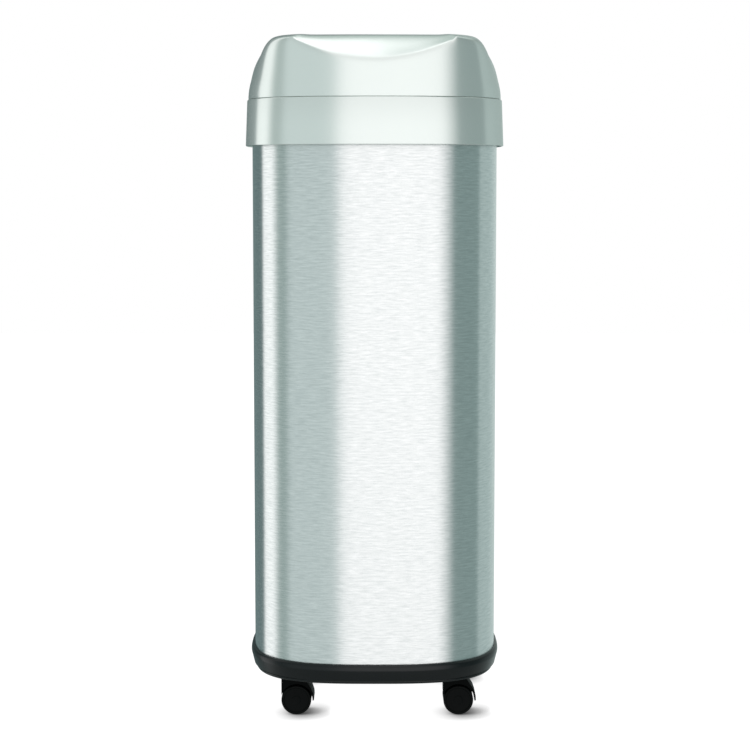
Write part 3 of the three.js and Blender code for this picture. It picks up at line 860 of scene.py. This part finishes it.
def screw(place, low, high):
    """A pan-head screw seen from below: a domed head with a cross recess on a plain shank."""
    head, shank, head_height, dome_share = 3.6 * MM, 1.75 * MM, 1.8 * MM, 0.8
    neck = low + head_height
    turn = np.linspace(0, math.pi / 2, 9)
    rise = head_height * dome_share * (1 - np.cos(turn))
    dome = np.stack([head * np.sin(turn), low + rise], axis=-1)
    rest = [[head, neck], [shank, neck], [shank, high - shank], [0, high]]
    outside = turned(np.concatenate([dome, rest]), steps=40)
    body = mesh_of("screw", shell(outside + [*place, 0]))
    arm, slot, below, recess, edge = 1.9 * MM, 0.4 * MM, 1 * MM, 1.1 * MM, 0.05 * MM
    first = np.array([[arm, -slot], [arm, slot], [slot, slot]])
    second = first[:, ::-1] * [-1, 1]  # a quarter turn on; the other two arms are opposite
    corners = [[u, v, 0.1] for u, v in np.concatenate([first, second, -first, -second])]
    cross = prism(rounded(corners, steps=3), low - below, low + recess, edge)
    return combine(body, ("DIFFERENCE", mesh_of("cross", shell(cross + [*place, 0]))))


for k, ((low, high), place) in enumerate(zip(SCREWS, SCREW_PLACES), start=1):
    made = screw(place, low[2], high[2])
    add_piece(f"pan_head_screw_{k}", made, zinc, "zinc_steel", "bin", f"tray_screw_{k}")

for name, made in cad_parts.items():
    if name.endswith(("_stem", "_grip_ring", "_axle")):
        made.data.materials.clear()
        made.data.materials.append(zinc)

# Studio

# What the metal mirrors round the horizon, as [from, to, colour] in degrees from the camera's side
# towards +X: soft boxes in white, and the dim gaps and dark flags between them.
BANDS = [
    [-180, -122, "#607171"],
    [-117, -93, "#F2F5F4"],
    [-79, -68, "#8F9F9C"],
    [-58, -13, "#B9C5C4"],
    [-9, 33.5, "#FFFFFF"],
    [52, 96, "#768987"],
    [101, 132, "#9DADAB"],
    [165, 180, "#B0BCBA"],
]
WHITE = colour("#FFFFFF")


def studio_world():
    """White to the eye. The metal sees the bands all round and a soft box overhead.

    Matt parts get a plain light.
    """
    world = bpy.data.worlds.new("studio")
    bpy.context.scene.world = world
    world.cycles.sampling_method = "NONE"  # so that each ray meets the world as what it is
    tree = blank_tree(world)
    way = node(tree, "ShaderNodeTexCoord").outputs["Generated"]
    x, y, z = node(tree, "ShaderNodeSeparateXYZ", {"Vector": way}).outputs
    ahead = node(tree, "ShaderNodeMath", {0: y, 1: -1.0}, operation="MULTIPLY").outputs[0]
    bearing = node(tree, "ShaderNodeMath", {0: x, 1: ahead}, operation="ARCTAN2").outputs[0]
    full_turn = {"Value": bearing, "From Min": -math.pi, "From Max": math.pi}
    share = node(tree, "ShaderNodeMapRange", full_turn).outputs["Result"]
    ramp = node(tree, "ShaderNodeValToRGB", {"Fac": share})
    stops = [(edge, tone) for low, high, tone in BANDS for edge in (low, high)]
    elements = ramp.color_ramp.elements
    while len(elements) < len(stops):
        elements.new(1.0)
    for element, (edge, tone) in zip(elements, stops):
        element.position = (edge + 180) / 360
        element.color = colour(tone)

    # Factors that go smoothly from 0 at the first value of a coordinate to 1 at the second. The box
    # overhead ends aslant: its rear edge runs to the front on the left, and so does its front edge.
    rear_slant, front_slant = (
        node(tree, "ShaderNodeMath", {0: x, 1: slope, 2: y}, operation="MULTIPLY_ADD").outputs[0]
        for slope in (-7.0, -3.0)
    )
    rises = {
        "above_foot": (z, 0.5, 0.62),
        "not_left": (x, -0.7, -0.4),
        "upwards": (z, 0.3, 0.5),
        "to_rear": (y, -0.25, 0.0),
        "downwards": (z, -0.35, -0.65),
        "overhead": (z, 0.7, 0.8),
        "box_rear": (rear_slant, 0.55, 0.42),
        "box_front": (front_slant, -0.65, -0.45),
        "box_left": (x, -0.065, -0.04),
        "box_right": (x, 0.35, 0.2),
    }
    factors = {}
    for name, (value, low, high) in rises.items():
        span = {"Value": value, "From Min": low, "From Max": high}
        made = node(tree, "ShaderNodeMapRange", span, interpolation_type="SMOOTHSTEP")
        factors[name] = made.outputs["Result"]
    products = {
        "behind": ("not_left", "upwards", "to_rear"),
        "box": ("overhead", "box_rear", "box_front", "box_left", "box_right"),
    }
    for name, (first, *others) in products.items():
        factors[name] = factors[first]
        for other in others:
            pair = {0: factors[name], 1: factors[other]}
            factors[name] = node(tree, "ShaderNodeMath", pair, operation="MULTIPLY").outputs[0]

    # The wall behind the can above its dark foot, the pale floor and the box, each over the last.
    foot_to_wall = {MIX_FIRST: colour("#8E9D99"), MIX_SECOND: colour("#BCCBC6")}
    foot_to_wall["Factor"] = factors["above_foot"]
    wall = node(tree, "ShaderNodeMix", foot_to_wall, data_type="RGBA").outputs[MIXED]
    mirrored = ramp.outputs["Color"]
    for name, tone in (("behind", wall), ("downwards", colour("#959C9A")), ("box", WHITE)):
        layers = {"Factor": factors[name], MIX_FIRST: mirrored, MIX_SECOND: tone}
        mirrored = node(tree, "ShaderNodeMix", layers, data_type="RGBA").outputs[MIXED]
    # All of it is a little brighter low down than higher up, and the box is the brightest.
    low_to_high = {"Value": z, "From Min": 0.08, "From Max": 0.35, "To Min": 1.34, "To Max": 1.12}
    level = node(tree, "ShaderNodeMapRange", low_to_high).outputs["Result"]
    to_box = {"Value": factors["box"], "To Min": level, "To Max": 1.65}
    level = node(tree, "ShaderNodeMapRange", to_box).outputs["Result"]

    lights = {"plain": (WHITE, 0.7), "studio": (mirrored, level), "backdrop": (WHITE, 1.0)}
    plain, studio, backdrop = (
        node(tree, "ShaderNodeBackground", {"Color": tone, "Strength": strength}).outputs[0]
        for tone, strength in lights.values()
    )
    ray = node(tree, "ShaderNodeLightPath").outputs
    through = {0: ray["Is Camera Ray"], 1: ray["Is Transmission Ray"]}
    clear = node(tree, "ShaderNodeMath", through, operation="MAXIMUM").outputs[0]
    lit = node(tree, "ShaderNodeMixShader", {0: ray["Is Glossy Ray"], 1: plain, 2: studio})
    seen = node(tree, "ShaderNodeMixShader", {0: clear, 1: lit.outputs[0], 2: backdrop})
    node(tree, "ShaderNodeOutputWorld", {"Surface": seen.outputs[0]})


def floor():
    """A pale matt floor, which the eye sees glowing white but for a painted shadow from ambient
    occlusion near the wheels, with a faint real shadow from the lamps.
    """
    half, drop = 6.0, 0.1 * MM
    painted_shadow_reach, painted_shadow_power = 31 * MM, 1.7
    corners = [(-half, -half, 0), (half, -half, 0), (half, half, 0), (-half, half, 0)]
    mesh = bpy.data.meshes.new("floor")
    mesh.from_pydata(corners, [], [(0, 1, 2, 3)])
    made = bpy.data.objects.new("floor", mesh)
    made.location.z = -drop
    made.visible_glossy = False
    bpy.context.scene.collection.objects.link(made)
    material = bpy.data.materials.new("pale_floor_with_painted_shadow")
    mesh.materials.append(material)
    tree = blank_tree(material)
    # The painted shadow looks up to the left and the rear from the floor, so that it lies right and
    # in front.
    upwards = node(tree, "ShaderNodeCombineXYZ", {"X": -0.6, "Y": 0.42, "Z": 0.68})
    around = {"Distance": painted_shadow_reach, "Normal": upwards.outputs["Vector"]}
    open_share = node(tree, "ShaderNodeAmbientOcclusion", around, samples=32).outputs["AO"]
    # The eye sees a glow dimmed by this painted shadow, plus a faint matt share that takes the
    # lamps' real shadow.
    deepened_painted_shadow = node(tree, "ShaderNodeMath", {0: open_share, 1: painted_shadow_power}, operation="POWER")
    glow_with_painted_shadow = node(tree, "ShaderNodeEmission", {"Strength": deepened_painted_shadow.outputs[0]}).outputs[0]
    faint, pale = (
        node(tree, "ShaderNodeBsdfDiffuse", {"Color": colour(tone)}).outputs[0]
        for tone in ("#6A6A6A", "#E6E6E6")
    )
    seen = node(tree, "ShaderNodeAddShader", {0: glow_with_painted_shadow, 1: faint}).outputs[0]
    ray = node(tree, "ShaderNodeLightPath").outputs
    top = node(tree, "ShaderNodeMixShader", {0: ray["Is Camera Ray"], 1: pale, 2: seen}).outputs[0]
    # From below the floor is clear, so that the underside shows.
    under = node(tree, "ShaderNodeNewGeometry").outputs["Backfacing"]
    clear = node(tree, "ShaderNodeBsdfTransparent").outputs[0]
    both = node(tree, "ShaderNodeMixShader", {0: under, 1: top, 2: clear})
    node(tree, "ShaderNodeOutputMaterial", {"Surface": both.outputs[0]})


def key_light():
    """A soft box above the can's left shoulder, which gives the matt parts their shape."""
    aim = Vector((0, 0, 0.5))
    data = bpy.data.lights.new("key", "AREA")
    data.shape = "SQUARE"
    data.size = 1.2
    data.energy = 22
    light = bpy.data.objects.new("key", data)
    light.location = (-1.5, -1.0, 2.4)
    light.rotation_euler = (aim - light.location).to_track_quat("-Z", "Y").to_euler()
    light.visible_camera = False
    light.visible_glossy = False
    bpy.context.scene.collection.objects.link(light)


studio_world()
floor()
key_light()
bpy.context.scene.view_settings.view_transform = "Standard"
